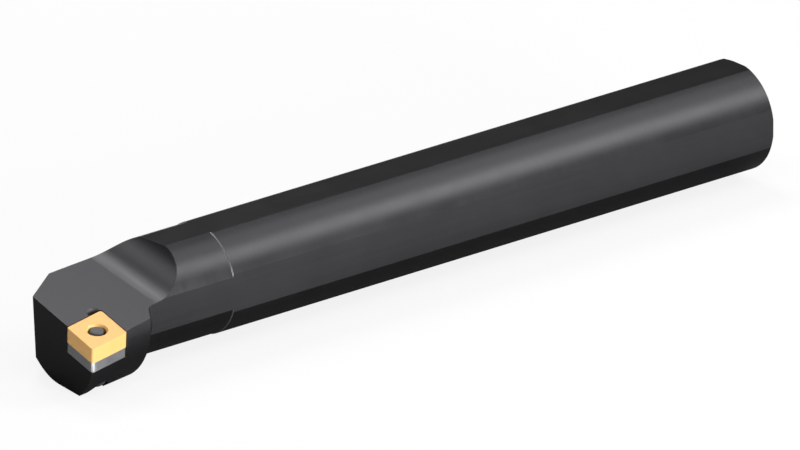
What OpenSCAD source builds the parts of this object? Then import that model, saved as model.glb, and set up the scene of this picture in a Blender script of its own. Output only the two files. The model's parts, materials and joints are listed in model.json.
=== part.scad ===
// Indexable boring bar, right hand, with a lever that clamps a rhombic carbide insert.
// X runs along the bar from the head to the back end, Z points up from the top flat,
// and the cutting side faces -Y. The origin is the middle of the back end. Millimetres.

/* [Shank] */
// Length from the cutting nose to the back end
overall_length = 250; // [150:1:350]
// Diameter of the round shank
shank_d = 32; // [31:0.5:36]
// Depth of each flat below the round of the shank
flat_depth = 1; // [0.5:0.1:2]
// Bevel around the rim of the back end
end_bevel = 0.8; // [0.2:0.1:2]

/* [Neck] */
// Length from the cutting nose to the step up to the shank
neck_length = 55; // [50:1:100]
// Height of the step between neck and shank
neck_step = 0.25; // [0.1:0.05:0.8]

/* [Head] */
// Distance of the cutting nose from the bar's axis
nose_offset = 22; // [21:0.5:25]
// Depth of the head's underside below the round of the shank
head_drop = 1.5; // [0.5:0.25:3]
// Length of the wide part of the head
head_length = 22; // [19:0.5:25]
// Taper of the wide part towards the shank, on each side
head_taper = 5; // [2:0.5:7]
// Angle of the shoulder behind the wide part
shoulder_angle = 56; // [40:1:75]
// Fillet at the foot of the shoulder
shoulder_r = 2; // [0.5:0.5:4]
// Height of the cutting nose above the edge of the steel beside it
side_relief = 0.15; // [0.05:0.05:0.5]
// Setback of the head's front face from the front cutting edge
front_relief = 0.2; // [0.05:0.05:0.5]
// Radius of the rounded underside on the far side
belly_r = 16; // [14:0.5:18]
// Offset of that radius from the bar's axis towards the cutting side
belly_shift = 2.5; // [1:0.25:4]
// Width cut away at the far front corner
corner_cut = 9.7; // [5:0.1:13]
// Angle of the far front corner cut to the bar's axis
corner_angle = 30; // [20:1:45]

/* [Chip scoop] */
// Distance from the nose at which the head's top starts to rise
scoop_start = 28.1; // [26:0.1:32]
// Radius of the hollow rise from the head's top to the top flat
scoop_r = 14.4; // [12:0.1:18]

/* [Insert] */
// Inscribed circle of the insert
insert_ic = 12.7; // [12:0.1:13.4]
// Thickness of the insert
insert_t = 4.76; // [4:0.01:5.6]
// Angle at the insert's cutting corners
insert_angle = 80; // [75:1:85]
// Corner radius of the insert
nose_r = 0.8; // [0.4:0.1:1.6]
// Hole through the insert
hole_d = 5.16; // [4.9:0.02:5.6]
// Width of the bevel at each mouth of the hole
hole_bevel = 0.52; // [0.2:0.02:0.8]
// Approach angle of the front cutting edge, seen from above
approach_angle = 95; // [92:0.5:97]
// Slope of the insert's seat along the bar
rake_axial = 6; // [4:0.5:8]
// Slope of the insert's seat across the bar
rake_radial = 10; // [7:0.5:12]

/* [Pocket] */
// Depth of the insert's top below the head's top
insert_sink = 0.25; // [0.05:0.05:0.6]
// Radius of the pocket's inner corner
pocket_r = 0.5; // [0.2:0.05:0.6]

/* [Shim] */
// Thickness of the shim under the insert
shim_t = 3.18; // [2.4:0.01:4]
// Setback of the shim's edges from the insert's edges
shim_inset = 0.1; // [0.05:0.05:0.4]

/* [Shim pin] */
// Outer diameter of the slit pin that holds the shim
pin_d = 6.6; // [6.4:0.1:7]
// Wall of the pin
pin_wall = 0.7; // [0.5:0.05:0.9]
// Length of the pin below the shim
pin_seat = 3.2; // [2:0.1:4.2]
// Width of the pin's collar
collar_w = 0.5; // [0.3:0.05:0.8]
// Thickness of the pin's collar
collar_t = 0.7; // [0.4:0.05:1]
// Width of the slit along the pin
slit_w = 1.2; // [0.6:0.1:2]

/* [Lever] */
// Diameter of the lever's tip inside the insert
tip_d = 4.2; // [3.8:0.05:4.5]
// Diameter of the lever between tip and knee
waist_d = 3.4; // [3:0.05:3.6]
// Depth of the tip below the insert's top
tip_sink = 0.4; // [0.2:0.1:1]
// Depth of the lever's knee below the insert's top
knee_depth = 14.8; // [14.8:0.1:15.6]
// Width of the lever's lower arm
arm_w = 3.6; // [3:0.1:4]
// Thickness of the lever's lower arm
arm_t = 3; // [2.4:0.1:3.4]

/* [Lever screw] */
// Thread diameter of the lever screw
screw_d = 6; // [5.6:0.1:6.4]
// Diameter of the screw's groove
groove_d = 3.8; // [3.4:0.1:4.2]
// Place of the screw along the pocket's inner wall, from the insert's middle
screw_run = 5; // [4.5:0.1:6]
// Distance of the screw's axis outside that wall
screw_out = 0.15; // [0:0.05:1]
// Width across the flats of the hexagon socket at each end
hex_af = 2.5; // [2:0.1:2.6]
// Depth of each hexagon socket
hex_depth = 1.7; // [1:0.1:2]
// Diameter of the key hole above the screw
key_hole_d = 4.2; // [3.6:0.1:4.6]
// Thickness of the screw's lower collar
screw_collar_t = 2; // [1.4:0.1:2.2]
// Length of the screw's threaded upper end
screw_thread_l = 3.6; // [3:0.1:3.9]

/* [Fits] */
// Gap around the shim pin in its bore
pin_fit = 0.02; // [0.01:0.01:0.05]
// Gap around the lever's knee in its bore
knee_fit = 0.08; // [0.05:0.01:0.1]
// Gap around the lever screw in its hole
screw_fit = 0.05; // [0.02:0.01:0.1]
// Gap between the clamped lever and the insert's hole
clamp_fit = 0.03; // [0.01:0.01:0.06]
// Gap above the lever's arm in the screw's groove
arm_gap_top = 0.6; // [0.5:0.05:0.8]
// Gap below the lever's arm in the screw's groove
arm_gap_bottom = 0.9; // [0.5:0.05:1.2]
// Gap between the end of the lever's arm and the screw's groove
arm_gap_end = 0.25; // [0.1:0.05:0.4]
// Gap beside the lever's arm in its slot
arm_gap_side = 0.4; // [0.3:0.05:0.6]

/* [Hidden] */
$fn = 96;
steel_black = "#303032";
shank_r = shank_d / 2;
neck_r = shank_r - neck_step;
flat_r = shank_r - flat_depth;
// The head is turned about the bar's axis to just inside the nose, then milled.
head_r = nose_offset - side_relief;
head_end_r = head_r - head_length * tan(head_taper);
shoulder_run = (head_end_r - neck_r) / tan(shoulder_angle);
head_bottom = shank_r + head_drop;
corner_y = neck_r - corner_cut;
// Longer than any cut has to reach through the head.
reach = 2 * (nose_offset + shank_r);

// Turn of the insert in its seat that gives the approach angle seen from above.
front_lead = atan((tan(approach_angle - 90) * cos(rake_radial)
    + sin(rake_axial) * sin(rake_radial)) / cos(rake_axial));
side_lead = 90 - insert_angle - front_lead;
// The insert's middle, from the corner that its two cutting edges' extremes make.
centre_run = (insert_ic / 2 - nose_r) / sin(insert_angle / 2);
centre_angle = side_lead + insert_angle / 2;
insert_centre = [nose_r + centre_run * cos(centre_angle), nose_r + centre_run * sin(centre_angle)];
floor_depth = insert_t + shim_t;
// Outward normal of the two edges that run across the bar.
cross_normal = [sin(insert_angle), -cos(insert_angle)];

// The bore that the shim pin and the lever share.
bore_r = pin_d / 2 + pin_fit;
knee_r = bore_r - knee_fit;
screw_at = [screw_run, insert_ic / 2 + screw_out];
lever_turn = atan2(screw_at.y, screw_at.x);
lever_reach = norm(screw_at);
arm_l = lever_reach - groove_d / 2 - arm_gap_end;
// At rest the lever leans towards the screw until its tip presses on the insert's hole.
tip_height = knee_depth - tip_sink;
clamp_lean = asin((hole_d / 2 - tip_d / 2 - clamp_fit) / tip_height);
groove_top = knee_depth - arm_t / 2 - arm_gap_top;
groove_bottom = knee_depth + arm_t / 2 + arm_gap_bottom;
screw_top = groove_top - screw_thread_l;
screw_end = groove_bottom + screw_collar_t;
// Room above the screw for its travel as it is turned back.
screw_head_room = 0.6;

// Puts children in the frame of the insert's top: the nose's corner, X back, Y across, Z up.
module head_frame() {
    translate([-overall_length, -nose_offset, 0])
        rotate([rake_radial, -rake_axial, 0])
            children();
}

// The insert's own frame: the middle of its top, with X along the side cutting edge.
module seat_frame() {
    head_frame()
        translate([insert_centre.x, insert_centre.y, -insert_sink])
            rotate([0, 0, side_lead])
                children();
}

// Middle of a corner's radius, for an outline with its edges at the distance half from the middle.
function corner_centre(sx, sy, half, r) =
    [((half - r) * (sx + sy * cos(insert_angle))) / sin(insert_angle), sy * (half - r)];

// Rhombus with round corners, as the insert and the shim have it.
module rhombus(half, r) {
    corners = [for (s = [[-1, -1], [1, -1], [1, 1], [-1, 1]])
        [corner_centre(s.x, s.y, half, r), [0, s.y] * r, cross_normal * s.x * r, s.x * s.y]];
    polygon([for (c = corners)
        each c[3] > 0 ? [c[0] + c[2], c[0] + c[1]] : [c[0] + c[1], c[0] + c[2]]]);
    for (c = corners) translate(c[0]) circle(r = r);
}

module turned_bar() {
    translate([-overall_length, 0, 0]) rotate([0, 90, 0]) rotate_extrude() polygon([
        [0, 0],
        [neck_r, 0],
        [neck_r, neck_length],
        [shank_r, neck_length + neck_step],
        [shank_r, overall_length - end_bevel],
        [shank_r - end_bevel, overall_length],
        [0, overall_length]
    ]);
}

// Half profile of the wide head, with a filleted shoulder down to the neck.
module head_profile() {
    foot = head_length + shoulder_run;
    fillet_run = shoulder_r * tan(shoulder_angle / 2);
    difference() {
        polygon([
            [0, 0],
            [head_r, 0],
            [head_end_r, head_length],
            [neck_r + fillet_run * sin(shoulder_angle), foot - fillet_run * cos(shoulder_angle)],
            [neck_r, foot + fillet_run],
            [0, foot + fillet_run]
        ]);
        translate([neck_r + shoulder_r, foot + fillet_run]) circle(r = shoulder_r);
    }
}

// Section of the milled head across the bar: flat below, round on the far side.
module head_section() {
    translate([-belly_shift, belly_r - head_bottom]) circle(r = belly_r);
    translate([-reach, -head_bottom]) square([reach - belly_shift, head_bottom + nose_offset / 2]);
}

module wide_head() {
    intersection() {
        translate([-overall_length, 0, 0]) rotate([0, 90, 0]) rotate_extrude() head_profile();
        translate([-overall_length - 1, 0, 0]) rotate([90, 0, 90])
            linear_extrude(height = reach) head_section();
    }
}

module flats() {
    for (turn = [0, 90, 180])
        rotate([turn, 0, 0])
            translate([-overall_length - 1, -shank_r, flat_r])
                cube([overall_length + 2, shank_d, shank_r]);
}

module front_cut() {
    head_frame()
        translate([nose_r, nose_r, 0])
            rotate([0, 0, -front_lead])
                translate([front_relief - nose_r - reach, -reach, -reach])
                    cube([reach, 3 * reach, 2 * reach]);
}

module far_corner_cut() {
    translate([-overall_length, corner_y, 0])
        rotate([0, 0, corner_angle])
            translate([-reach, 0, -reach])
                cube([3 * reach, reach, 2 * reach]);
}

// Everything above the head's top, with the hollow rise at its back.
module scoop_cut() {
    scoop_end = scoop_start + scoop_r;
    head_frame() rotate([90, 0, 0]) linear_extrude(height = 4 * reach, center = true) {
        polygon([[-reach, 0], [scoop_start, 0], [scoop_end, scoop_r], [scoop_end, reach], [-reach, reach]]);
        translate([scoop_start, scoop_r]) circle(r = scoop_r);
    }
}

// The pocket is open to the front and the side, with one round corner between its two walls.
module pocket() {
    round_centre = corner_centre(1, 1, insert_ic / 2, pocket_r);
    wall_end = round_centre + cross_normal * pocket_r;
    wall_start = round_centre + [0, pocket_r];
    across = [cos(insert_angle), sin(insert_angle)] * reach;
    along = [reach, 0];
    seat_frame() translate([0, 0, -floor_depth]) linear_extrude(height = reach) {
        polygon([
            wall_end,
            wall_start,
            wall_start - along,
            wall_start - along - across,
            wall_end - across
        ]);
        translate(round_centre) circle(r = pocket_r);
    }
}

// Bore for the pin and the lever, threaded hole and key hole, and the slot that joins them.
module clamp_bores() {
    seat_frame() {
        translate([0, 0, -reach]) cylinder(r = bore_r, h = reach);
        translate([screw_at.x, screw_at.y, 0]) {
            translate([0, 0, -reach])
                cylinder(r = screw_d / 2 + screw_fit, h = reach - screw_top + screw_head_room);
            translate([0, 0, -screw_top - 1]) cylinder(d = key_hole_d, h = screw_top + 2);
        }
        rotate([0, 0, lever_turn])
            translate([0, -arm_w / 2 - arm_gap_side, -reach])
                cube([lever_reach, arm_w + 2 * arm_gap_side, reach - groove_top]);
    }
}

module bar() {
    color(steel_black)
        difference() {
            union() {
                difference() {
                    turned_bar();
                    flats();
                }
                wide_head();
            }
            front_cut();
            far_corner_cut();
            scoop_cut();
            pocket();
            clamp_bores();
        }
}

// A hole from the top with a bevel at each mouth, through a plate that hangs below Z = 0.
module bevelled_hole(r, bevel, thickness) {
    rotate_extrude() polygon([
        [0, 1],
        [r + bevel + 1, 1],
        [r, -bevel],
        [r, bevel - thickness],
        [r + bevel + 1, -thickness - 1],
        [0, -thickness - 1]
    ]);
}

module insert() {
    color("#ffc983")
        seat_frame()
            difference() {
                translate([0, 0, -insert_t]) linear_extrude(height = insert_t)
                    rhombus(insert_ic / 2, nose_r);
                bevelled_hole(hole_d / 2, hole_bevel, insert_t);
            }
}

module shim() {
    color("#9c9da0")
        seat_frame()
            translate([0, 0, -floor_depth])
                difference() {
                    linear_extrude(height = shim_t)
                        rhombus(insert_ic / 2 - shim_inset, nose_r);
                    translate([0, 0, -1]) cylinder(r = bore_r, h = shim_t + 2);
                    translate([0, 0, shim_t - collar_t - 0.1])
                        cylinder(r = bore_r + collar_w + 0.1, h = collar_t + 1);
                }
}

module shim_pin() {
    inner_r = pin_d / 2 - pin_wall;
    pin_l = pin_seat + shim_t - 0.1;
    color("#707276")
        seat_frame()
            rotate([0, 0, lever_turn])
                translate([0, 0, -floor_depth - pin_seat])
                    difference() {
                        union() {
                            cylinder(d = pin_d, h = pin_l);
                            translate([0, 0, pin_l - collar_t])
                                cylinder(r = pin_d / 2 + collar_w, h = collar_t);
                        }
                        translate([0, 0, -1]) cylinder(r = inner_r, h = pin_l + 2);
                        translate([-reach, -slit_w / 2, -1]) cube([reach, slit_w, pin_l + 2]);
                    }
}

module lever() {
    tip_chamfer = tip_sink;
    tip_start = knee_depth - insert_t + tip_chamfer;
    tip_r = tip_d / 2;
    waist_r = waist_d / 2;
    color("#4a4b4e")
        seat_frame()
            rotate([0, 0, lever_turn])
                translate([0, 0, -knee_depth])
                    rotate([0, clamp_lean, 0]) {
                        rotate_extrude() polygon([
                            [0, 0],
                            [waist_r, 0],
                            [waist_r, tip_start - tip_r + waist_r],
                            [tip_r, tip_start],
                            [tip_r, tip_height - tip_chamfer],
                            [tip_r - tip_chamfer, tip_height],
                            [0, tip_height]
                        ]);
                        sphere(r = knee_r);
                        translate([0, 0, -arm_t / 2]) linear_extrude(height = arm_t) {
                            translate([arm_l - arm_w / 2, 0]) circle(d = arm_w);
                            translate([0, -arm_w / 2]) square([arm_l - arm_w / 2, arm_w]);
                        }
                    }
}

module hex_socket(depth) {
    cylinder(d = hex_af / cos(30), h = depth, $fn = 6);
}

module lever_screw() {
    color("#55565a")
        seat_frame()
            translate([screw_at.x, screw_at.y, -screw_end])
                difference() {
                    union() {
                        cylinder(d = screw_d, h = screw_collar_t);
                        cylinder(d = groove_d, h = screw_end - screw_top);
                        translate([0, 0, screw_end - groove_top])
                            cylinder(d = screw_d, h = screw_thread_l);
                    }
                    translate([0, 0, -1]) hex_socket(hex_depth + 1);
                    translate([0, 0, screw_end - screw_top - hex_depth]) hex_socket(hex_depth + 1);
                }
}

bar();
insert();
shim();
shim_pin();
lever();
lever_screw();
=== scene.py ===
"""Indexable boring bar: finishes, a honed insert, a cast lever, a threaded screw and a studio."""

import json
import math

import bmesh
import bpy
from mathutils import Matrix, Vector


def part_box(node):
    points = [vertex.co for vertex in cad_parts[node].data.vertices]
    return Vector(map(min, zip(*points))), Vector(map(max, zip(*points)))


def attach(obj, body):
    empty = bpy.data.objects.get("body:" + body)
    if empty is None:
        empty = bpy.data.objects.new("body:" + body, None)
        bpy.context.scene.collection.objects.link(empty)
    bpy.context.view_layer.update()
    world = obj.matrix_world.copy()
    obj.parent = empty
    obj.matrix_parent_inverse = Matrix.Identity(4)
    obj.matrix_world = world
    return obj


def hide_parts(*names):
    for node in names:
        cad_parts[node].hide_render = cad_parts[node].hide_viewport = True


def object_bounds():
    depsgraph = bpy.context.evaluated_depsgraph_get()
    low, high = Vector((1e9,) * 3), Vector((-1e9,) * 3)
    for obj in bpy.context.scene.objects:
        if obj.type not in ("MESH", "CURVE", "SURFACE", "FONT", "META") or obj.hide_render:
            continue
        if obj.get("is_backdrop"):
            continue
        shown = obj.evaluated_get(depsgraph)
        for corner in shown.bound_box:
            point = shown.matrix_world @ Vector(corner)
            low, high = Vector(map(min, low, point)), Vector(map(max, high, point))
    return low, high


bl_info = {
    "name": "Boring Bar Dresser",
    "version": (1, 0, 0),
    "blender": (4, 5, 0),
    "location": "3D View > Sidebar > Boring Bar",
    "description": "Gives a packed boring bar its finishes, its finer small pieces and a studio",
    "category": "Object",
}

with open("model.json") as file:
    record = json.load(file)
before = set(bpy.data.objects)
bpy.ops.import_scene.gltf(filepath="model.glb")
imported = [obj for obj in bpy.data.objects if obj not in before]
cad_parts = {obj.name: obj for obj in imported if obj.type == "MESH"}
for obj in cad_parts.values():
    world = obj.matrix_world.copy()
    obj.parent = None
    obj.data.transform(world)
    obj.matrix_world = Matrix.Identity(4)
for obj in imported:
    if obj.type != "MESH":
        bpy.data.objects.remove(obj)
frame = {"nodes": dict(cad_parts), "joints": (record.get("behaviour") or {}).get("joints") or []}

MM = 0.001
CAD_BOX = [list(corner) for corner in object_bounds()]


# Frame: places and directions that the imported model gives

def joint(name):
    """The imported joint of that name."""
    return next(j for j in frame["joints"] if j["name"] == name)


def box_middle(node):
    """Middle of a node's box."""
    low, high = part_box(node)
    return (Vector(low) + Vector(high)) / 2


def clamp_axes():
    """Unit vectors of the pocket: from the lever to its screw, across that, and out of it."""
    out = Vector(joint("lever_screw_turn")["axis"]).normalized()
    across = -Vector(joint("lever_rock")["axis"]).normalized()
    return across.cross(out).normalized(), across, out


# Colour and node helpers

def linear(hex_colour):
    """Linear colour of an sRGB hex value such as #303032."""
    channels = [int(hex_colour[i:i + 2], 16) / 255 for i in (1, 3, 5)]
    red, green, blue = [
        c / 12.92 if c <= 0.04045 else ((c + 0.055) / 1.055) ** 2.4 for c in channels]
    return red, green, blue, 1.0


def put(tree, kind, inputs=(), **settings):
    """Adds a node with its settings.

    The inputs are by socket, or in the sockets' order. Each is a value, an output that is linked,
    or a node whose first output is linked.
    """
    node = tree.nodes.new(kind)
    for name, value in settings.items():
        setattr(node, name, value)
    for name, value in (inputs.items() if isinstance(inputs, dict) else enumerate(inputs)):
        if isinstance(value, bpy.types.Node):
            value = value.outputs[0]
        if isinstance(value, bpy.types.NodeSocket):
            tree.links.new(value, node.inputs[name])
        else:
            node.inputs[name].default_value = value
    return node


def new_material(name):
    """An empty node material and its tree."""
    material = bpy.data.materials.new(name)
    material.use_nodes = True
    material.node_tree.nodes.clear()
    return material, material.node_tree


def dress(obj, material):
    """Puts one material in every slot of an object."""
    if not obj.material_slots:
        obj.data.materials.append(material)
    for slot in obj.material_slots:
        slot.material = material


# Registered settings

class BoringBarFinish(bpy.types.PropertyGroup):
    """Colours of the finishes, and of the painted light and shade on the bar"""
    steel_colour: bpy.props.StringProperty(
        name="Black oxide", description="sRGB hex of the oxidised steel", default="#464648")
    # Light grey of the neck's step, which is a painted highlight line.
    step_highlight_colour: bpy.props.StringProperty(
        name="Bare steel", description="sRGB hex of steel cut after it was blackened",
        default="#A6A6A8")
    # Lighter grey of the key hole, which is painted light on its wall where shade falls.
    key_hole_light_colour: bpy.props.StringProperty(
        name="Drilled steel", description="sRGB hex of the drilled key hole", default="#78787B")
    # Lighter grey of the edges, partly wear and partly a painted highlight along them.
    wear_and_highlight_colour: bpy.props.StringProperty(
        name="Worn edges", description="sRGB hex of the black finish where corners rub it",
        default="#6E6E70")
    coating_colour: bpy.props.StringProperty(
        name="Coating", description="sRGB hex of the insert's coating", default="#F4BE71")
    carbide_colour: bpy.props.StringProperty(
        name="Bare carbide", description="sRGB hex of the shim's ground carbide", default="#CCCDD0")
    lever_colour: bpy.props.StringProperty(
        name="Lever", description="sRGB hex of the phosphated lever", default="#5C5D60")
    pin_colour: bpy.props.StringProperty(
        name="Pin", description="sRGB hex of the spring pin", default="#77787B")
    screw_colour: bpy.props.StringProperty(
        name="Screw", description="sRGB hex of the blackened screw", default="#3C3C3F")


class BoringBarBody(bpy.types.PropertyGroup):
    """Places on the steel bar where its colour changes, for painted shade and painted light"""
    neck: bpy.props.FloatProperty(
        name="Neck", description="Length from the nose to the step where the ground shank begins",
        default=55 * MM, unit="LENGTH", precision=5)
    # Beyond the head, the bar's flats are painted darker as painted shade.
    head: bpy.props.FloatProperty(
        name="Head", description="Length of the milled head, beyond which the flats are ground",
        default=22 * MM, unit="LENGTH", precision=5)
    step: bpy.props.FloatProperty(
        name="Step", description="Length of that step's cone",
        default=0.25 * MM, unit="LENGTH", precision=5)
    key_hole: bpy.props.FloatProperty(
        name="Key hole", description="Diameter of the hole that leads a key to the lever's screw",
        default=4.2 * MM, unit="LENGTH", precision=5)


class BoringBarInsert(bpy.types.PropertyGroup):
    """Sizes of the insert and its shim"""
    inscribed: bpy.props.FloatProperty(
        name="Inscribed circle", description="Circle that the insert's edges touch",
        default=12.7 * MM, unit="LENGTH", precision=5)
    corner_angle: bpy.props.FloatProperty(
        name="Corner angle", description="Angle at the cutting corners",
        default=math.radians(80), subtype="ANGLE")
    corner_radius: bpy.props.FloatProperty(
        name="Corner radius", description="Radius of the insert's corners",
        default=0.8 * MM, unit="LENGTH", precision=5)
    thickness: bpy.props.FloatProperty(
        name="Thickness", description="Height of the insert",
        default=4.76 * MM, unit="LENGTH", precision=5)
    hole: bpy.props.FloatProperty(
        name="Hole", description="Diameter of the hole through the insert",
        default=5.16 * MM, unit="LENGTH", precision=5)
    hole_bevel: bpy.props.FloatProperty(
        name="Hole bevel", description="Width of the bevel at each mouth of the hole",
        default=0.52 * MM, unit="LENGTH", precision=5)
    hone: bpy.props.FloatProperty(
        name="Hone", description="Radius brushed onto the cutting edges",
        default=0.06 * MM, unit="LENGTH", precision=5)
    shim_thickness: bpy.props.FloatProperty(
        name="Shim thickness", description="Height of the shim under the insert",
        default=3.18 * MM, unit="LENGTH", precision=5)
    shim_inset: bpy.props.FloatProperty(
        name="Shim inset", description="Distance of the shim's edges inside the insert's",
        default=0.1 * MM, unit="LENGTH", precision=5)
    shim_edge: bpy.props.FloatProperty(
        name="Shim edge", description="Radius of the shim's broken edges",
        default=0.1 * MM, unit="LENGTH", precision=5)
    shim_hole: bpy.props.FloatProperty(
        name="Shim hole", description="Diameter of the hole for the pin",
        default=6.64 * MM, unit="LENGTH", precision=5)
    shim_seat: bpy.props.FloatProperty(
        name="Shim seat", description="Diameter of the seat for the pin's collar",
        default=7.84 * MM, unit="LENGTH", precision=5)
    shim_seat_depth: bpy.props.FloatProperty(
        name="Shim seat depth", description="Depth of the seat for the pin's collar",
        default=0.8 * MM, unit="LENGTH", precision=5)
    screw_run: bpy.props.FloatProperty(
        name="Screw run", description="Place of the screw along the pocket's inner wall",
        default=5.0 * MM, unit="LENGTH", precision=5)
    screw_out: bpy.props.FloatProperty(
        name="Screw offset", description="Distance of the screw's axis outside that wall",
        default=0.15 * MM, unit="LENGTH", precision=5)


class BoringBarScrew(bpy.types.PropertyGroup):
    """Sizes of the lever's screw"""
    thread: bpy.props.FloatProperty(
        name="Thread", description="Outer diameter of the thread and of the collar",
        default=6.0 * MM, unit="LENGTH", precision=5)
    pitch: bpy.props.FloatProperty(
        name="Pitch", description="Height of one turn of the thread",
        default=1.0 * MM, unit="LENGTH", precision=5)
    thread_length: bpy.props.FloatProperty(
        name="Thread length", description="Height of the threaded end",
        default=3.6 * MM, unit="LENGTH", precision=5)
    groove: bpy.props.FloatProperty(
        name="Groove", description="Diameter of the groove that takes the lever's arm",
        default=3.8 * MM, unit="LENGTH", precision=5)
    above: bpy.props.FloatProperty(
        name="Groove above", description="Height of the groove above the middle of the arm",
        default=2.1 * MM, unit="LENGTH", precision=5)
    below: bpy.props.FloatProperty(
        name="Groove below", description="Depth of the groove below the middle of the arm",
        default=2.4 * MM, unit="LENGTH", precision=5)
    collar: bpy.props.FloatProperty(
        name="Collar", description="Height of the collar that lifts the arm",
        default=2.0 * MM, unit="LENGTH", precision=5)
    key: bpy.props.FloatProperty(
        name="Key", description="Width across the flats of the hexagon sockets",
        default=2.5 * MM, unit="LENGTH", precision=5)
    key_depth: bpy.props.FloatProperty(
        name="Key depth", description="Depth of the hexagon sockets",
        default=1.7 * MM, unit="LENGTH", precision=5)


class BoringBarLever(bpy.types.PropertyGroup):
    """Sizes of the clamping lever"""
    lean: bpy.props.FloatProperty(
        name="Lean", description="Tilt of the clamped lever towards its screw",
        default=math.radians(1.791), subtype="ANGLE")
    knee: bpy.props.FloatProperty(
        name="Knee", description="Diameter of the ball at the lever's knee",
        default=6.48 * MM, unit="LENGTH", precision=5)
    waist: bpy.props.FloatProperty(
        name="Waist", description="Diameter between the knee and the tip",
        default=3.4 * MM, unit="LENGTH", precision=5)
    tip: bpy.props.FloatProperty(
        name="Tip", description="Diameter of the tip in the insert's hole",
        default=4.2 * MM, unit="LENGTH", precision=5)
    tip_start: bpy.props.FloatProperty(
        name="Tip start", description="Height of the tip's lower end above the knee",
        default=10.44 * MM, unit="LENGTH", precision=5)
    tip_height: bpy.props.FloatProperty(
        name="Tip height", description="Height of the tip's upper end above the knee",
        default=14.4 * MM, unit="LENGTH", precision=5)
    arm_width: bpy.props.FloatProperty(
        name="Arm width", description="Width of the arm",
        default=3.6 * MM, unit="LENGTH", precision=5)
    arm_height: bpy.props.FloatProperty(
        name="Arm height", description="Height of the arm",
        default=3.0 * MM, unit="LENGTH", precision=5)
    arm_length: bpy.props.FloatProperty(
        name="Arm length", description="Reach of the arm from the knee into the screw's groove",
        default=6.05 * MM, unit="LENGTH", precision=5)


class BoringBarStudio(bpy.types.PropertyGroup):
    """Camera and light"""
    azimuth: bpy.props.FloatProperty(
        name="Azimuth",
        description="Direction of the camera round the bar, from straight at its cutting side",
        default=math.radians(-39.562), subtype="ANGLE")
    elevation: bpy.props.FloatProperty(
        name="Elevation", description="Height of the camera above the horizon",
        default=math.radians(21.664), subtype="ANGLE")
    roll: bpy.props.FloatProperty(
        name="Roll", description="Turn of the camera about its own line of sight",
        default=math.radians(-0.009), subtype="ANGLE")
    distance: bpy.props.FloatProperty(
        name="Distance", description="Distance of the camera from the middle of its view",
        default=5.834, unit="LENGTH")
    lens: bpy.props.FloatProperty(
        name="Lens", description="Focal length in millimetres, long for a nearly parallel view",
        default=960.0)


GROUPS = {
    "boring_bar_body": BoringBarBody,
    "boring_bar_finish": BoringBarFinish,
    "boring_bar_insert": BoringBarInsert,
    "boring_bar_lever": BoringBarLever,
    "boring_bar_screw": BoringBarScrew,
    "boring_bar_studio": BoringBarStudio,
}


# Materials

NOISE_ROUGHNESS = 0.55
GLOSS_SPREAD = 0.03


def per_mm(size):
    """Scale of a pattern whose features are about that many millimetres wide."""
    return 1 / (size * MM)


def scaled(colour, share):
    """A linear colour made lighter or darker, within what paint can have."""
    return tuple(min(1.0, share * c) for c in colour[:3]) + (1.0,)


def lay_finish(tree, colour, rough, metallic, height, bump_mm, normal=None):
    """The shader of a finish, with a bump of the given height in millimetres."""
    relief = {"Strength": 1.0, "Distance": bump_mm * MM, "Height": height}
    if normal:
        relief["Normal"] = normal
    bump = put(tree, "ShaderNodeBump", relief)
    shader = put(tree, "ShaderNodeBsdfPrincipled", {
        "Base Color": colour, "Metallic": metallic, "Roughness": rough, "Normal": bump})
    put(tree, "ShaderNodeOutputMaterial", {"Surface": shader})
    return shader


def grained(name, colour, spread, rough, metallic, grain_mm, patch_mm, bump_mm):
    """A finish with an even fine grain and slow patches. Its colour varies by the spread.

    The real grains of carbide, of phosphate and of turned steel are 0.02 mm wide or less. Here they
    are about 0.15 mm wide, so that they show. A noise lies nearly all between 0.3 and 0.7, and the
    sum of two between 0.6 and 1.4.
    """
    material, tree = new_material(name)
    place = put(tree, "ShaderNodeTexCoord").outputs["Object"]
    grain, patch = [
        put(tree, "ShaderNodeTexNoise", {
            "Vector": place, "Scale": per_mm(size), "Detail": detail, "Roughness": NOISE_ROUGHNESS})
        for size, detail in ((grain_mm, 3.0), (patch_mm, 2.0))]
    both = put(tree, "ShaderNodeMath", (grain, patch), operation="ADD")
    shade = put(tree, "ShaderNodeMapRange", (both, 0.6, 1.4, 0.0, 1.0))
    gloss = put(tree, "ShaderNodeMapRange", (
        patch, 0.3, 0.7, rough - GLOSS_SPREAD, rough + GLOSS_SPREAD))
    base = linear(colour)
    tint = put(tree, "ShaderNodeMix", {
        0: shade, 6: scaled(base, 1 - spread), 7: scaled(base, 1 + spread)}, data_type="RGBA")
    shader = lay_finish(tree, tint.outputs[2], gloss, metallic, grain, bump_mm)
    return material, shader


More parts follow.
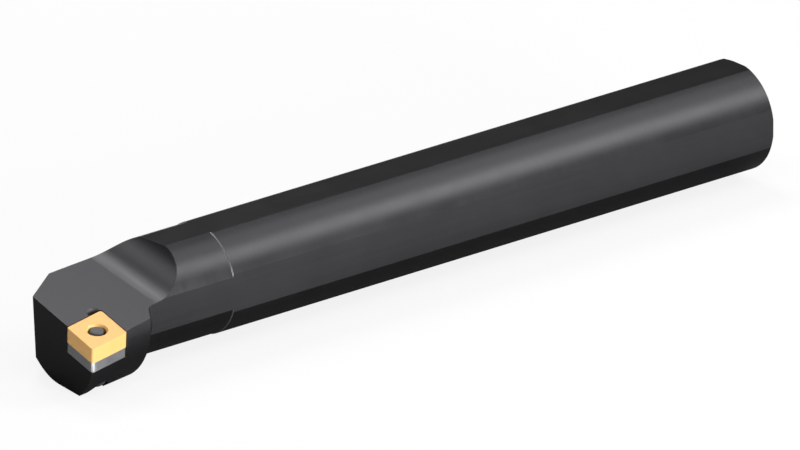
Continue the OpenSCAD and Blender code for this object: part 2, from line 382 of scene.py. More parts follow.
def tool_lines(tree, place, spot, steep):
    """Noise drawn out to rings round the bar, to lines along its flats and to circles on its ends.

    Real grinding lines are 0.1 mm apart or less. Here they are 0.7 mm apart, so that they show in a
    picture of the whole bar. The steepness of a face is how far it faces along each axis.
    """
    line_mm, run_mm = 0.7, 45.0
    faces_flat, faces_end = 0.965, 0.9
    across, along = per_mm(line_mm), per_mm(run_mm)
    steepest = put(tree, "ShaderNodeMath", (steep[1], steep[2]), operation="MAXIMUM")
    flat = put(tree, "ShaderNodeMath", (steepest, faces_flat), operation="GREATER_THAN")
    end = put(tree, "ShaderNodeMath", (steep[0], faces_end), operation="GREATER_THAN")
    rings, lines = [
        put(tree, "ShaderNodeVectorMath", (place, stretch), operation="MULTIPLY")
        for stretch in ((across, along, along), (along, across, across))]
    squares = [
        put(tree, "ShaderNodeMath", (spot.outputs[i], 2.0), operation="POWER") for i in (1, 2)]
    total = put(tree, "ShaderNodeMath", squares, operation="ADD")
    radius = put(tree, "ShaderNodeMath", (total,), operation="SQRT")
    circles = put(tree, "ShaderNodeCombineXYZ", (
        put(tree, "ShaderNodeMath", (radius, across), operation="MULTIPLY"),))
    chosen = put(tree, "ShaderNodeMix", {0: flat, 4: rings, 5: lines}, data_type="VECTOR")
    chosen = put(tree, "ShaderNodeMix", {
        0: end, 4: chosen.outputs[1], 5: circles}, data_type="VECTOR")
    return put(tree, "ShaderNodeTexNoise", {
        "Vector": chosen.outputs[1], "Scale": 1.0, "Detail": 2.0, "Roughness": 0.6})


# Mask of the neck's step, on which the bar has a painted highlight line.
def neck_step(tree, spot, steep, body):
    """1 on the cone of the neck's step, and 0 elsewhere."""
    faces_cone, reach = 0.4, 0.6 * body.step
    middle = CAD_BOX[0][0] + body.neck + body.step / 2
    near = put(tree, "ShaderNodeMath", (spot, middle, reach), operation="COMPARE")
    leaning = put(tree, "ShaderNodeMath", (steep[0], faces_cone), operation="GREATER_THAN")
    return put(tree, "ShaderNodeMath", (near, leaning), operation="MULTIPLY")


# Mask of the key hole, in which the bar has painted light on the wall.
def key_hole(tree, place, body):
    """1 in the key hole, and 0 elsewhere."""
    hinge = joint("lever_screw_turn")
    beyond_wall = 0.01 * MM
    offset = put(tree, "ShaderNodeVectorMath", (place, hinge["pos_m"]), operation="SUBTRACT")
    aside = put(tree, "ShaderNodeVectorMath", (offset, hinge["axis"]), operation="CROSS_PRODUCT")
    distance = put(tree, "ShaderNodeVectorMath", (aside,), operation="LENGTH").outputs["Value"]
    return put(tree, "ShaderNodeMath", (distance, body.key_hole / 2 + beyond_wall),
               operation="LESS_THAN")


# Mask of the flats, which the bar paints darker as painted shade.
def ground_flats(tree, spot, facing, steep, body):
    """1 on the shank's top, bottom and side flats, beyond the milled head, and 0 elsewhere."""
    faces_square = 0.995
    to_side = put(tree, "ShaderNodeMath", (facing.outputs[1], -1.0), operation="MULTIPLY")
    squarest = put(tree, "ShaderNodeMath", (to_side, steep[2]), operation="MAXIMUM")
    square = put(tree, "ShaderNodeMath", (squarest, faces_square), operation="GREATER_THAN")
    head_end = CAD_BOX[0][0] + body.head
    beyond = put(tree, "ShaderNodeMath", (spot, head_end), operation="GREATER_THAN")
    return put(tree, "ShaderNodeMath", (square, beyond), operation="MULTIPLY")


def black_oxide_steel(finish, body):
    """Hardened alloy steel, ground and milled, then blackened: near black, satin, with tool lines.

    Corners have a small broken edge, painted a little lighter: partly where the black has rubbed,
    partly a painted highlight along the edges. The flats of the shank are painted a little darker,
    as painted shade. The neck's step is painted light grey as a painted highlight line. The key
    hole is painted a lighter grey, as painted light on its wall where shade falls, and is rough and
    dull.
    """
    material, tree = new_material("black-oxide alloy steel, ground and milled")
    coordinates = put(tree, "ShaderNodeTexCoord")
    place = coordinates.outputs["Object"]
    spot = put(tree, "ShaderNodeSeparateXYZ", (place,))
    facing = put(tree, "ShaderNodeSeparateXYZ", (coordinates.outputs["Normal"],))
    steep = [
        put(tree, "ShaderNodeMath", (facing.outputs[i],), operation="ABSOLUTE") for i in range(3)]

    # The grain is drawn coarser than the real one too, so that it shows.
    grain_mm, patch_mm, grain_share, relief_mm = 0.3, 11.0, 0.25, 0.0035
    cut = tool_lines(tree, place, spot, steep)
    grain, patch = [
        put(tree, "ShaderNodeTexNoise", {
            "Vector": place, "Scale": per_mm(size), "Detail": detail, "Roughness": NOISE_ROUGHNESS})
        for size, detail in ((grain_mm, 2.0), (patch_mm, 3.0))]
    # The ranges are a little narrower than those of the sums of noises, for more contrast.
    fine = put(tree, "ShaderNodeMath", (cut, grain), operation="ADD")
    shade = put(tree, "ShaderNodeMath", (fine, patch), operation="ADD")
    shade = put(tree, "ShaderNodeMapRange", (shade, 1.1, 1.9, 0.0, 1.0))
    rough = 0.40
    gloss = put(tree, "ShaderNodeMath", (patch, cut), operation="ADD")
    gloss = put(tree, "ShaderNodeMapRange", (
        gloss, 0.7, 1.3, rough - GLOSS_SPREAD, rough + GLOSS_SPREAD))
    height = put(tree, "ShaderNodeMath", (grain, grain_share), operation="MULTIPLY")
    height = put(tree, "ShaderNodeMath", (cut, height), operation="ADD")

    # The edges are painted lighter, partly as wear and partly as a painted highlight along them.
    edge_radius, wear_and_highlight_share = 0.18 * MM, 0.5
    broken = put(tree, "ShaderNodeBevel", (edge_radius,), samples=4)
    straight = put(tree, "ShaderNodeNewGeometry").outputs["Normal"]
    turned = put(tree, "ShaderNodeVectorMath", (broken, straight), operation="DOT_PRODUCT")
    wear_and_highlight = put(tree, "ShaderNodeMapRange", (turned.outputs["Value"], 0.75, 0.97, wear_and_highlight_share, 0.0))

    # The shank's flats are multiplied darker by this share: painted shade.
    spread, flat_shade_share = 0.07, 0.86
    base = linear(finish.steel_colour)
    flats = ground_flats(tree, spot, facing, steep, body)
    step = neck_step(tree, spot, steep, body)
    hole = key_hole(tree, place, body)
    colour = put(tree, "ShaderNodeMix", {
        0: shade, 6: scaled(base, 1 - spread), 7: scaled(base, 1 + spread)}, data_type="RGBA")
    colour = put(tree, "ShaderNodeMix", {
        0: wear_and_highlight, 6: colour.outputs[2], 7: linear(finish.wear_and_highlight_colour)}, data_type="RGBA")
    colour = put(tree, "ShaderNodeMix", {
        0: flats, 6: colour.outputs[2], 7: (flat_shade_share, flat_shade_share, flat_shade_share, 1.0)},
        data_type="RGBA", blend_type="MULTIPLY")
    # Painted highlight on the neck's step, and painted light in the key hole.
    for mask, painted_light in ((step, finish.step_highlight_colour), (hole, finish.key_hole_light_colour)):
        colour = put(tree, "ShaderNodeMix", {
            0: mask, 6: colour.outputs[2], 7: linear(painted_light)}, data_type="RGBA")
    drilled_rough, drilled_metal = 0.7, 0.85
    gloss = put(tree, "ShaderNodeMix", {0: hole, 2: gloss, 3: drilled_rough}, data_type="FLOAT")
    metal = put(tree, "ShaderNodeMapRange", (hole, 0.0, 1.0, 1.0, drilled_metal))
    lay_finish(tree, colour.outputs[2], gloss, metal, height, relief_mm, broken)
    return material


def coated_carbide(finish):
    """Sintered carbide with a vapour-deposited coat: matte warm gold under a smoother skin."""
    material, shader = grained(
        "vapour-coated sintered carbide, golden", finish.coating_colour, spread=0.05,
        rough=0.50, metallic=0.15, grain_mm=0.16, patch_mm=2.5, bump_mm=0.002)
    shader.inputs["Coat Weight"].default_value = 0.25
    shader.inputs["Coat Roughness"].default_value = 0.25
    return material


def ground_carbide(finish):
    """Bare carbide, ground flat: cool light grey with a fine even grain and a dull metal shine."""
    return grained(
        "ground sintered carbide", finish.carbide_colour, spread=0.08,
        rough=0.36, metallic=0.95, grain_mm=0.16, patch_mm=3.0, bump_mm=0.0015)[0]


def phosphated_steel(finish):
    """Cast steel, tumbled and phosphated: dark grey and dull, as its crystals scatter light."""
    return grained(
        "phosphated cast steel, tumbled", finish.lever_colour, spread=0.10,
        rough=0.50, metallic=0.7, grain_mm=0.15, patch_mm=1.6, bump_mm=0.003)[0]


def spring_steel(finish):
    """Rolled spring steel, oiled: mid grey, and smoother than the cast pieces."""
    return grained(
        "rolled spring steel, oiled", finish.pin_colour, spread=0.08,
        rough=0.32, metallic=1.0, grain_mm=0.14, patch_mm=2.0, bump_mm=0.001)[0]


def black_screw_steel(finish):
    """Turned screw steel, blackened: darker and a little glossier than the bar."""
    return grained(
        "black-oxide screw steel, turned", finish.screw_colour, spread=0.08,
        rough=0.34, metallic=1.0, grain_mm=0.14, patch_mm=1.5, bump_mm=0.001)[0]


# Meshes

SCREW_STEPS = 48
RINGS_A_TURN = 10
LEVER_STEPS = 64
BALL_STEPS = 28

# Where two faces turn by more than this, the edge between them shades sharp.
PLATE_SHARP_DEGREES = 25
STEEL_SHARP_DEGREES = 30


def finish_mesh(shape, name, node, body, sharp_degrees):
    """Makes an object that replaces a node and rides on its body, smooth but for sharp edges."""
    bmesh.ops.recalc_face_normals(shape, faces=shape.faces)
    mesh = bpy.data.meshes.new(name)
    shape.to_mesh(mesh)
    shape.free()
    mesh.shade_smooth()
    mesh.set_sharp_from_angle(angle=math.radians(sharp_degrees))
    obj = bpy.data.objects.new(name, mesh)
    bpy.context.scene.collection.objects.link(obj)
    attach(obj, body)
    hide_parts(node)
    return obj


def loft(rings, closed):
    """Skins rings of as many points each, joined end to end or capped at both ends."""
    shape = bmesh.new()
    loops = [[shape.verts.new(point) for point in ring] for ring in rings]
    count = len(loops[0])
    pairs = list(zip(loops, loops[1:]))
    if closed:
        pairs.append((loops[-1], loops[0]))
    else:
        shape.faces.new(loops[0])
        shape.faces.new(loops[-1])
    for lower, upper in pairs:
        for i in range(count):
            j = (i + 1) % count
            shape.faces.new((lower[i], lower[j], upper[j], upper[i]))
    return shape


def circle(turns, radius, height):
    """A ring of points at the given turns."""
    return [(radius * math.cos(t), radius * math.sin(t), height) for t in turns]


class RoundedRhombus:
    """Outline of an insert: four edges at one distance from the middle and four round corners."""

    CORNER_STEPS = 8
    EDGE_STEPS = 18

    def __init__(self, half, radius, angle):
        self.half = half
        self.radius = radius
        self.normals = [math.pi / 2, angle + math.pi / 2, -math.pi / 2, angle - math.pi / 2]
        self.corners = []
        for i, first in enumerate(self.normals):
            second = self.normals[(i + 1) % 4]
            second += 2 * math.pi * math.ceil((first - second) / (2 * math.pi))
            middle, open_by = (first + second) / 2, (second - first) / 2
            outward = Vector((math.cos(middle), math.sin(middle)))
            centre = outward * (half - radius) / math.cos(open_by)
            ends = [centre + radius * Vector((math.cos(t), math.sin(t))) for t in (first, second)]
            self.corners.append((centre, ends))

    def turns(self):
        """Turns round the middle at which the outline has its points."""
        marks = []
        spans = [(e[0], e[1], self.CORNER_STEPS) for _, e in self.corners]
        for i, (_, ends) in enumerate(self.corners):
            following = self.corners[(i + 1) % 4][1]
            for a, b, steps in (spans[i], (ends[1], following[0], self.EDGE_STEPS)):
                swing = a.angle_signed(b) * -1
                begin = math.atan2(a.y, a.x)
                marks += [begin + swing * k / steps for k in range(steps)]
        return marks

    def ring(self, turns, inset, height):
        """The outline moved inwards, as points at the given turns."""
        points = []
        half, radius = self.half - inset, self.radius - inset
        for t in turns:
            ray = Vector((math.cos(t), math.sin(t)))
            reach = min(
                half / max(1e-6, math.cos(t - n)) for n in self.normals if math.cos(t - n) > 0)
            for i, (centre, _) in enumerate(self.corners):
                first, second = self.normals[i], self.normals[(i + 1) % 4]
                ends = [
                    centre + radius * Vector((math.cos(n), math.sin(n))) for n in (first, second)]
                offset = centre.x * ray.y - centre.y * ray.x
                inside = (ends[0].x * ray.y - ends[0].y * ray.x >= 0
                          and ends[1].x * ray.y - ends[1].y * ray.x <= 0 and centre.dot(ray) > 0)
                if inside and abs(offset) < radius:
                    reach = centre.dot(ray) + math.sqrt(radius * radius - offset * offset)
            points.append((reach * ray.x, reach * ray.y, height))
        return points


def rounded_edge(radius, steps=4):
    """Inward and downward steps of a rounded edge, from a plate's face to its flank."""
    turns = [math.pi / 2 * i / steps for i in range(steps + 1)]
    return [(radius * (1 - math.sin(t)), radius * (1 - math.cos(t))) for t in turns]


def plate(outline, thickness, edge, hole):
    """A plate under Z = 0 with rounded rims.

    The hole gives the radius and height of each of its rings from top to bottom. A narrow band
    beside each rim keeps the shading of the flat faces even.
    """
    turns = outline.turns()
    band = 0.04 * MM
    rim = [(edge + band, 0.0)] + rounded_edge(edge) + [(0.0, edge + band)]
    rims = [(inset, -drop) for inset, drop in rim]
    rims += [(inset, drop - thickness) for inset, drop in reversed(rim)]
    rings = [outline.ring(turns, inset, height) for inset, height in rims]
    rings += [circle(turns, radius, height) for radius, height in reversed(hole)]
    return loft(rings, closed=True)


def pocket_matrix(sizes, depth):
    """The insert's frame: X along its side cutting edge, Z out of the pocket.

    Its origin lies the given depth below the middle of the insert's top.
    """
    towards_screw, _, out = clamp_axes()
    turn = math.atan2(sizes.inscribed / 2 + sizes.screw_out, sizes.screw_run)
    along = Matrix.Rotation(-turn, 3, out) @ towards_screw
    axes = Matrix((along, out.cross(along), out)).transposed()
    top = box_middle("insert") + out * sizes.thickness / 2
    return Matrix.Translation(top - out * depth) @ axes.to_4x4()


def hexagon(turns, across, height):
    """A ring of points on a hexagon of the given width across its flats."""
    sector = math.pi / 3
    return [
        tuple(Vector((math.cos(t), math.sin(t), 0.0)) * across / 2
              / math.cos(t % sector - sector / 2) + Vector((0.0, 0.0, height)))
        for t in turns]


def thread_ring(turns, sizes, height, limit):
    """A ring of points on the thread's helix, no further out than the limit."""
    crest, flank, depth = 0.3, 3.2, 0.55 * sizes.pitch
    points = []
    for t in turns:
        phase = (height / sizes.pitch - t / (2 * math.pi)) % 1.0
        down = min(1.0, max(0.0, flank * abs(phase - 0.5) - crest))
        radius = min(limit, sizes.thread / 2 - depth * down)
        points.append((radius * math.cos(t), radius * math.sin(t), height))
    return points


def lever_screw_shape(sizes):
    """The lever's screw with Z = 0 at the middle of the arm: collar below, groove, thread above."""
    turns = [2 * math.pi * i / SCREW_STEPS for i in range(SCREW_STEPS)]
    rim, soft, lead_in = 0.3 * MM, 0.12 * MM, 0.2 * MM
    cone, cone_tip, rim_slope = 0.4 * MM, 0.05 * MM, 1.4
    collar, groove = sizes.thread / 2, sizes.groove / 2
    low, high = -sizes.below, sizes.above
    bottom, top = low - sizes.collar, high + sizes.thread_length
    mouth = sizes.key / math.sqrt(3) + soft
    rings = [
        circle(turns, cone_tip, bottom + sizes.key_depth + cone),
        hexagon(turns, sizes.key, bottom + sizes.key_depth),
        hexagon(turns, sizes.key, bottom + lead_in),
        circle(turns, mouth, bottom),
        circle(turns, collar - rim, bottom),
        circle(turns, collar, bottom + rim),
        circle(turns, collar, low - soft),
        circle(turns, collar - soft, low),
        circle(turns, groove + soft, low),
        circle(turns, groove, low + soft),
        circle(turns, groove, high - soft),
        circle(turns, groove + soft, high),
    ]
    steps = round(RINGS_A_TURN * sizes.thread_length / sizes.pitch)
    for i in range(steps + 1):
        height = high + sizes.thread_length * i / steps
        limit = collar - max(0.0, rim - (height - high), rim - (top - height)) * rim_slope
        rings.append(thread_ring(turns, sizes, height, limit))
    rings += [
        circle(turns, mouth, top),
        hexagon(turns, sizes.key, top - lead_in),
        hexagon(turns, sizes.key, top - sizes.key_depth),
        circle(turns, cone_tip, top - sizes.key_depth - cone),
    ]
    return loft(rings, closed=False)


def lever_upright(sizes):
    """The lever's upright with Z = 0 at its knee: ball, waist and tip, turned round Z."""
    turns = [2 * math.pi * i / LEVER_STEPS for i in range(LEVER_STEPS)]
    waist, tip, ball = sizes.waist / 2, sizes.tip / 2, sizes.knee / 2
    edge_in, edge_down = 0.4 * MM, 0.4 * MM
    round_in, round_down = 0.12 * MM, 0.18 * MM
    collar_rings, collar_step = 4, 0.1 * MM
    shoulder = sizes.tip_start - (tip - waist)
    blend = math.asin(waist / ball)
    rings = []
    for i in range(1, BALL_STEPS + 1):
        down = math.pi - i * (math.pi - blend) / BALL_STEPS
        rings.append(circle(turns, ball * math.sin(down), ball * math.cos(down)))
    for i in range(1, collar_rings + 1):
        rings.append(circle(turns, waist, ball * math.cos(blend) + collar_step * i))
    rings += [
        circle(turns, waist, shoulder),
        circle(turns, tip, sizes.tip_start),
        circle(turns, tip, sizes.tip_height - edge_down),
        circle(turns, tip - round_in, sizes.tip_height - round_down),
        circle(turns, tip - edge_in, sizes.tip_height),
    ]
    return loft(rings, closed=False)


def lever_arm(sizes):
    """The lever's arm along X from its knee, a flat bar with a round end and broken edges."""
    half, end = sizes.arm_width / 2, sizes.arm_length - sizes.arm_width / 2
    soft, soft_steps, end_steps = 0.25 * MM, 3, 24
    rings = [
        (half - inset, sizes.arm_height / 2 - drop)
        for inset, drop in rounded_edge(soft, soft_steps)]
    rings += [(radius, -height) for radius, height in reversed(rings)]
    outlines = []
    for radius, height in rings:
        round_end = [
            (end + radius * math.sin(t), -radius * math.cos(t), height)
            for t in [math.pi * i / end_steps for i in range(end_steps + 1)]]
        outlines.append([(0.0, -radius, height)] + round_end + [(0.0, radius, height)])
    return loft(outlines, closed=False)


def joined(first, second):
    """A bmesh of the union of two closed bmeshes."""
    parts = []
    for shape in (first, second):
        bmesh.ops.recalc_face_normals(shape, faces=shape.faces)
        mesh = bpy.data.meshes.new("joining")
        shape.to_mesh(mesh)
        shape.free()
        part = bpy.data.objects.new("joining", mesh)
        bpy.context.scene.collection.objects.link(part)
        parts.append(part)
    union = parts[0].modifiers.new("union", "BOOLEAN")
    union.operation = "UNION"
    union.solver = "EXACT"
    union.object = parts[1]
    shape = bmesh.new()
    shape.from_object(parts[0], bpy.context.evaluated_depsgraph_get())
    for part in parts:
        bpy.data.objects.remove(part)
    return shape


def lever_matrix(sizes):
    """The lever's frame at rest: its origin at the knee, Z up the upright and X along the arm."""
    towards_screw, _, out = clamp_axes()
    knee = Vector(joint("lever_rock")["pos_m"])
    upright = out * math.cos(sizes.lean) + towards_screw * math.sin(sizes.lean)
    arm = towards_screw * math.cos(sizes.lean) - out * math.sin(sizes.lean)
    upright, arm = upright.normalized(), arm.normalized()
    axes = Matrix((arm, upright.cross(arm), upright)).transposed()
    return Matrix.Translation(knee) @ axes.to_4x4()


# Operators

class OBJECT_OT_dress_bar(bpy.types.Operator):
    """Give the steel bar its blackened finish"""
    bl_idname = "boring_bar.dress_bar"
    bl_label = "Dress Bar"

    def execute(self, context):
        settings = context.scene
        steel = black_oxide_steel(settings.boring_bar_finish, settings.boring_bar_body)
        dress(frame["nodes"]["bar"], steel)
        return {"FINISHED"}


class OBJECT_OT_hone_insert(bpy.types.Operator):
    """Make the coated insert with honed edges in the pocket"""
    bl_idname = "boring_bar.hone_insert"
    bl_label = "Hone Insert"

    def execute(self, context):
        sizes = context.scene.boring_bar_insert
        outline = RoundedRhombus(sizes.inscribed / 2, sizes.corner_radius, sizes.corner_angle)
        radius, bevel, thick = sizes.hole / 2, sizes.hole_bevel, sizes.thickness
        soft = 0.05 * MM
        hole = [
            (radius + bevel, 0.0),
            (radius + soft, soft - bevel),
            (radius, -bevel - soft),
            (radius, bevel + soft - thick),
            (radius + soft, bevel - soft - thick),
            (radius + bevel, -thick),
        ]
        shape = plate(outline, thick, sizes.hone, hole)
        shape.transform(pocket_matrix(sizes, 0.0))
        obj = finish_mesh(shape, "honed_insert", "insert", "bar", PLATE_SHARP_DEGREES)
        dress(obj, coated_carbide(context.scene.boring_bar_finish))
        return {"FINISHED"}


class OBJECT_OT_grind_shim(bpy.types.Operator):
    """Make the ground shim under the insert"""
    bl_idname = "boring_bar.grind_shim"
    bl_label = "Grind Shim"

    def execute(self, context):
        sizes = context.scene.boring_bar_insert
        outline = RoundedRhombus(
            sizes.inscribed / 2 - sizes.shim_inset, sizes.corner_radius, sizes.corner_angle)
        hole = [
            (sizes.shim_seat / 2, 0.0),
            (sizes.shim_seat / 2, -sizes.shim_seat_depth),
            (sizes.shim_hole / 2, -sizes.shim_seat_depth),
            (sizes.shim_hole / 2, -sizes.shim_thickness),
        ]
        shape = plate(outline, sizes.shim_thickness, sizes.shim_edge, hole)
        shape.transform(pocket_matrix(sizes, sizes.thickness))
        obj = finish_mesh(shape, "ground_shim", "shim", "bar", PLATE_SHARP_DEGREES)
        dress(obj, ground_carbide(context.scene.boring_bar_finish))
        dress(frame["nodes"]["shim_pin"], spring_steel(context.scene.boring_bar_finish))
        return {"FINISHED"}


class OBJECT_OT_cast_lever(bpy.types.Operator):
    """Make the lever with the soft edges of a tumbled casting"""
    bl_idname = "boring_bar.cast_lever"
    bl_label = "Cast Lever"

    def execute(self, context):
        sizes = context.scene.boring_bar_lever
        shape = joined(lever_upright(sizes), lever_arm(sizes))
        shape.transform(lever_matrix(sizes))
        obj = finish_mesh(shape, "cast_lever", "lever", "lever", STEEL_SHARP_DEGREES)
        dress(obj, phosphated_steel(context.scene.boring_bar_finish))
        return {"FINISHED"}


class OBJECT_OT_turn_screw(bpy.types.Operator):
    """Make the lever's screw with its thread and hexagon sockets"""
    bl_idname = "boring_bar.turn_screw"
    bl_label = "Turn Screw"

    def execute(self, context):
        sizes = context.scene.boring_bar_screw
        shape = lever_screw_shape(sizes)
        hinge = joint("lever_screw_turn")
        axis = Vector(hinge["axis"]).to_track_quat("Z", "Y").to_matrix().to_4x4()
        shape.transform(Matrix.Translation(Vector(hinge["pos_m"])) @ axis)
        obj = finish_mesh(
            shape, "threaded_screw", "lever_screw", "lever_screw",
            STEEL_SHARP_DEGREES)
        dress(obj, black_screw_steel(context.scene.boring_bar_finish))
        return {"FINISHED"}


def view_axes(azimuth, elevation, roll):
    """Right, up and back unit vectors of a camera at these angles round the bar."""
    back = Vector((
        math.sin(azimuth) * math.cos(elevation),
        -math.cos(azimuth) * math.cos(elevation),
        math.sin(elevation)))
    right = Vector((math.cos(azimuth), math.sin(azimuth), 0.0))
    up = back.cross(right)
    turned_right = math.cos(roll) * right + math.sin(roll) * up
    turned_up = math.cos(roll) * up - math.sin(roll) * right
    return turned_right, turned_up, back


# Middle of the photograph's view: from the bar's axis at the nose, to the right and up in the view.
VIEW_RIGHT = 97.757 * MM
VIEW_UP = 27.488 * MM


def add_camera(studio):
    """A long lens at the photograph's angle."""
    right, up, back = view_axes(studio.azimuth, studio.elevation, studio.roll)
    nose = Vector((CAD_BOX[0][0], 0.0, 0.0))
    data = bpy.data.cameras.new("view")
    data.lens = studio.lens
    data.sensor_width = 36.0
    data.clip_start = 0.5
    data.clip_end = 20.0
    camera = bpy.data.objects.new("view", data)
    axes = Matrix((right, up, back)).transposed()
    target = nose + right * VIEW_RIGHT + up * VIEW_UP
    camera.matrix_world = Matrix.Translation(target + back * studio.distance) @ axes.to_4x4()
    bpy.context.scene.collection.objects.link(camera)
    bpy.context.scene.camera = camera


LAMP_DISTANCE = 1.0
LAMP_SIZE = 0.35


def add_lamp(name, azimuth, elevation, watts):
    """A square soft box that faces the middle of the bar. Its angles are in degrees."""
    data = bpy.data.lights.new(name, "AREA")
    data.shape = "SQUARE"
    data.size = LAMP_SIZE
    data.energy = watts
    lamp = bpy.data.objects.new(name, data)
    _, _, back = view_axes(math.radians(azimuth), math.radians(elevation), 0.0)
    lamp.location = box_middle("bar") + back * LAMP_DISTANCE
    lamp.rotation_mode = "QUATERNION"
    lamp.rotation_quaternion = back.to_track_quat("Z", "Y")
    lamp.visible_camera = False
    bpy.context.scene.collection.objects.link(lamp)


def add_sheet(name, corners, lift, material):
    """A flat stage sheet, by the given lift above the height on which the bar lies."""
    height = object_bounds()[0].z + lift
    shape = bmesh.new()
    shape.faces.new([shape.verts.new((x, y, height)) for x, y in corners])
    mesh = bpy.data.meshes.new(name)
    shape.to_mesh(mesh)
    shape.free()
    sheet = bpy.data.objects.new(name, mesh)
    bpy.context.scene.collection.objects.link(sheet)
    dress(sheet, material)
    sheet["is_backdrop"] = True
    return sheet


def white_paper():
    """Matte paper that shows white and keeps a soft shadow, also where metal mirrors it."""
    brightness, white_share = 1.02, 0.82
    material, tree = new_material("matte white paper")
    paper = put(tree, "ShaderNodeBsdfDiffuse", {"Color": linear("#EDEDED")})
    white = put(tree, "ShaderNodeEmission", {"Color": linear("#FFFFFF"), "Strength": brightness})
    path = put(tree, "ShaderNodeLightPath").outputs
    seen = put(tree, "ShaderNodeMath", (path["Is Camera Ray"], path["Is Glossy Ray"]),
               operation="MAXIMUM")
    seen = put(tree, "ShaderNodeMath", (seen, path["Is Transmission Ray"]), operation="MAXIMUM")
    share = put(tree, "ShaderNodeMath", (seen, white_share), operation="MULTIPLY")
    mix = put(tree, "ShaderNodeMixShader", (share, paper, white))
    put(tree, "ShaderNodeOutputMaterial", {"Surface": mix})
    return material


def grey_card():
    """Matte dark card, as studios lay beside metal to give it a dark side."""
    # Metal mirrors this card as a painted dark reflection.
    material, tree = new_material("matte grey card")
    card = put(tree, "ShaderNodeBsdfDiffuse", {"Color": linear("#6F6F6F")})
    put(tree, "ShaderNodeOutputMaterial", {"Surface": card})
    return material


def bright_card():
    """A lit white card, as studios hold near a corner that should catch the light."""
    # The card glows but lights nothing: it shows only as a painted highlight on the nose.
    brightness = 2.4
    material, tree = new_material("lit white card")
    card = put(tree, "ShaderNodeEmission", {"Color": linear("#FFFFFF"), "Strength": brightness})
    put(tree, "ShaderNodeOutputMaterial", {"Surface": card})
    return material


def add_card(name, corners, lift, material):
    """A card on the floor that only metal mirrors: it isn't seen itself and lights nothing."""
    card = add_sheet(name, corners, lift, material)
    card.visible_camera = False
    card.visible_diffuse = False
    card.visible_shadow = False


def add_dark_card():
    """A dark card under the bar, wider round the head and beyond the back end."""
    # Metal mirrors this card as painted dark reflection, where shade lies under the bar.
    nose, end = CAD_BOX[0][0], CAD_BOX[1][0]
    past_nose, past_end = nose - 0.35, end + 0.14
    head, neck = nose + 0.025, nose + 0.052
    front, head_front, back = -0.036, -0.060, 0.036
    beside_head, beside_end = 0.3, 0.10
    corners = [
        (past_nose, head_front), (neck, head_front), (neck, front), (past_end, front),
        (past_end, beside_end), (end, beside_end), (end, back), (head, back),
        (head, beside_head), (past_nose, beside_head)]
    add_card("dark_card", corners, 0.05 * MM, grey_card())


def add_lit_card():
    """A narrow lit corner round the nose, for its painted highlight."""
    nose = CAD_BOX[0][0]
    outer_x, inner_x, right = nose - 0.035, nose - 0.0105, nose + 0.012
    outer_y, inner_y, back = -0.050, -0.0305, -0.020
    corners = [
        (outer_x, outer_y), (right, outer_y), (right, inner_y),
        (inner_x, inner_y), (inner_x, back), (outer_x, back)]
    add_card("lit_card", corners, 0.1 * MM, bright_card())


def add_floor():
    """A wide sheet of white paper, with a dark card under the bar and a lit one round its nose."""
    wide = 8.0
    corners = [(-wide, -wide), (wide, -wide), (wide, wide), (-wide, wide)]
    add_sheet("floor", corners, 0.0, white_paper())
    add_dark_card()
    add_lit_card()


def add_world():
    """A soft grey dome that the camera sees as white."""
    dome_strength, seen_strength = 0.12, 1.0
    world = bpy.data.worlds.new("studio")
    world.use_nodes = True
    tree = world.node_tree
    tree.nodes.clear()
    white = linear("#FFFFFF")
    dome = put(tree, "ShaderNodeBackground", {"Color": white, "Strength": dome_strength})
    bright = put(tree, "ShaderNodeBackground", {"Color": white, "Strength": seen_strength})
    seen = put(tree, "ShaderNodeLightPath").outputs["Is Camera Ray"]
    mix = put(tree, "ShaderNodeMixShader", (seen, dome, bright))
    put(tree, "ShaderNodeOutputWorld", {"Surface": mix})
    bpy.context.scene.world = world


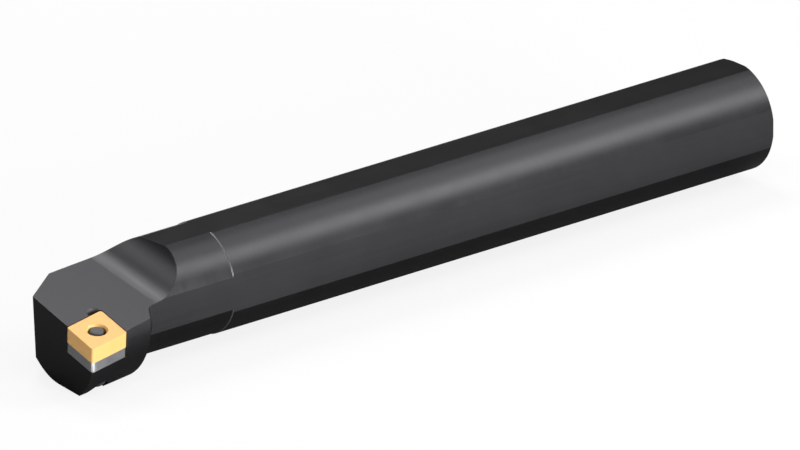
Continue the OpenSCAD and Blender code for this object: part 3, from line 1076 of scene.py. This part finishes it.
class OBJECT_OT_set_studio(bpy.types.Operator):
    """Set up the camera, the floor, the dome and the soft boxes"""
    bl_idname = "boring_bar.set_studio"
    bl_label = "Set Studio"

    def execute(self, context):
        studio = context.scene.boring_bar_studio
        add_camera(studio)
        add_floor()
        add_world()
        add_lamp("right", azimuth=50, elevation=40, watts=2.93)
        add_lamp("right_top", azimuth=85, elevation=55, watts=1.08)
        add_lamp("far_top", azimuth=160, elevation=62, watts=3.25)
        add_lamp("left_top", azimuth=215, elevation=48, watts=0.67)
        add_lamp("left", azimuth=225, elevation=38, watts=0.8)
        add_lamp("nose", azimuth=262, elevation=46, watts=0.12)
        add_lamp("front", azimuth=0, elevation=8, watts=12.2)
        add_lamp("over", azimuth=-40, elevation=60, watts=1.5)
        context.scene.view_settings.view_transform = "Standard"
        return {"FINISHED"}


class VIEW3D_PT_boring_bar(bpy.types.Panel):
    """Sizes, colours and steps of the boring bar"""
    bl_label = "Boring Bar"
    bl_space_type = "VIEW_3D"
    bl_region_type = "UI"
    bl_category = "Boring Bar"

    def draw(self, context):
        for group in GROUPS:
            settings = getattr(context.scene, group)
            for name in GROUPS[group].__annotations__:
                self.layout.prop(settings, name)
        for operator in OPERATORS:
            self.layout.operator(operator.bl_idname)


OPERATORS = (
    OBJECT_OT_dress_bar,
    OBJECT_OT_hone_insert,
    OBJECT_OT_grind_shim,
    OBJECT_OT_cast_lever,
    OBJECT_OT_turn_screw,
    OBJECT_OT_set_studio,
)


def register():
    """Registers the settings, the operators and the panel."""
    for group in GROUPS.values():
        bpy.utils.register_class(group)
    for name, group in GROUPS.items():
        setattr(bpy.types.Scene, name, bpy.props.PointerProperty(type=group))
    for operator in OPERATORS:
        bpy.utils.register_class(operator)
    bpy.utils.register_class(VIEW3D_PT_boring_bar)


def unregister():
    """Takes the panel, the operators and the settings away again."""
    bpy.utils.unregister_class(VIEW3D_PT_boring_bar)
    for operator in reversed(OPERATORS):
        bpy.utils.unregister_class(operator)
    for name, group in reversed(GROUPS.items()):
        delattr(bpy.types.Scene, name)
        bpy.utils.unregister_class(group)


def main():
    """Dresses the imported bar."""
    register()
    bpy.ops.boring_bar.dress_bar()
    bpy.ops.boring_bar.hone_insert()
    bpy.ops.boring_bar.grind_shim()
    bpy.ops.boring_bar.cast_lever()
    bpy.ops.boring_bar.turn_screw()
    bpy.ops.boring_bar.set_studio()


if __name__ == "__main__":
    main()
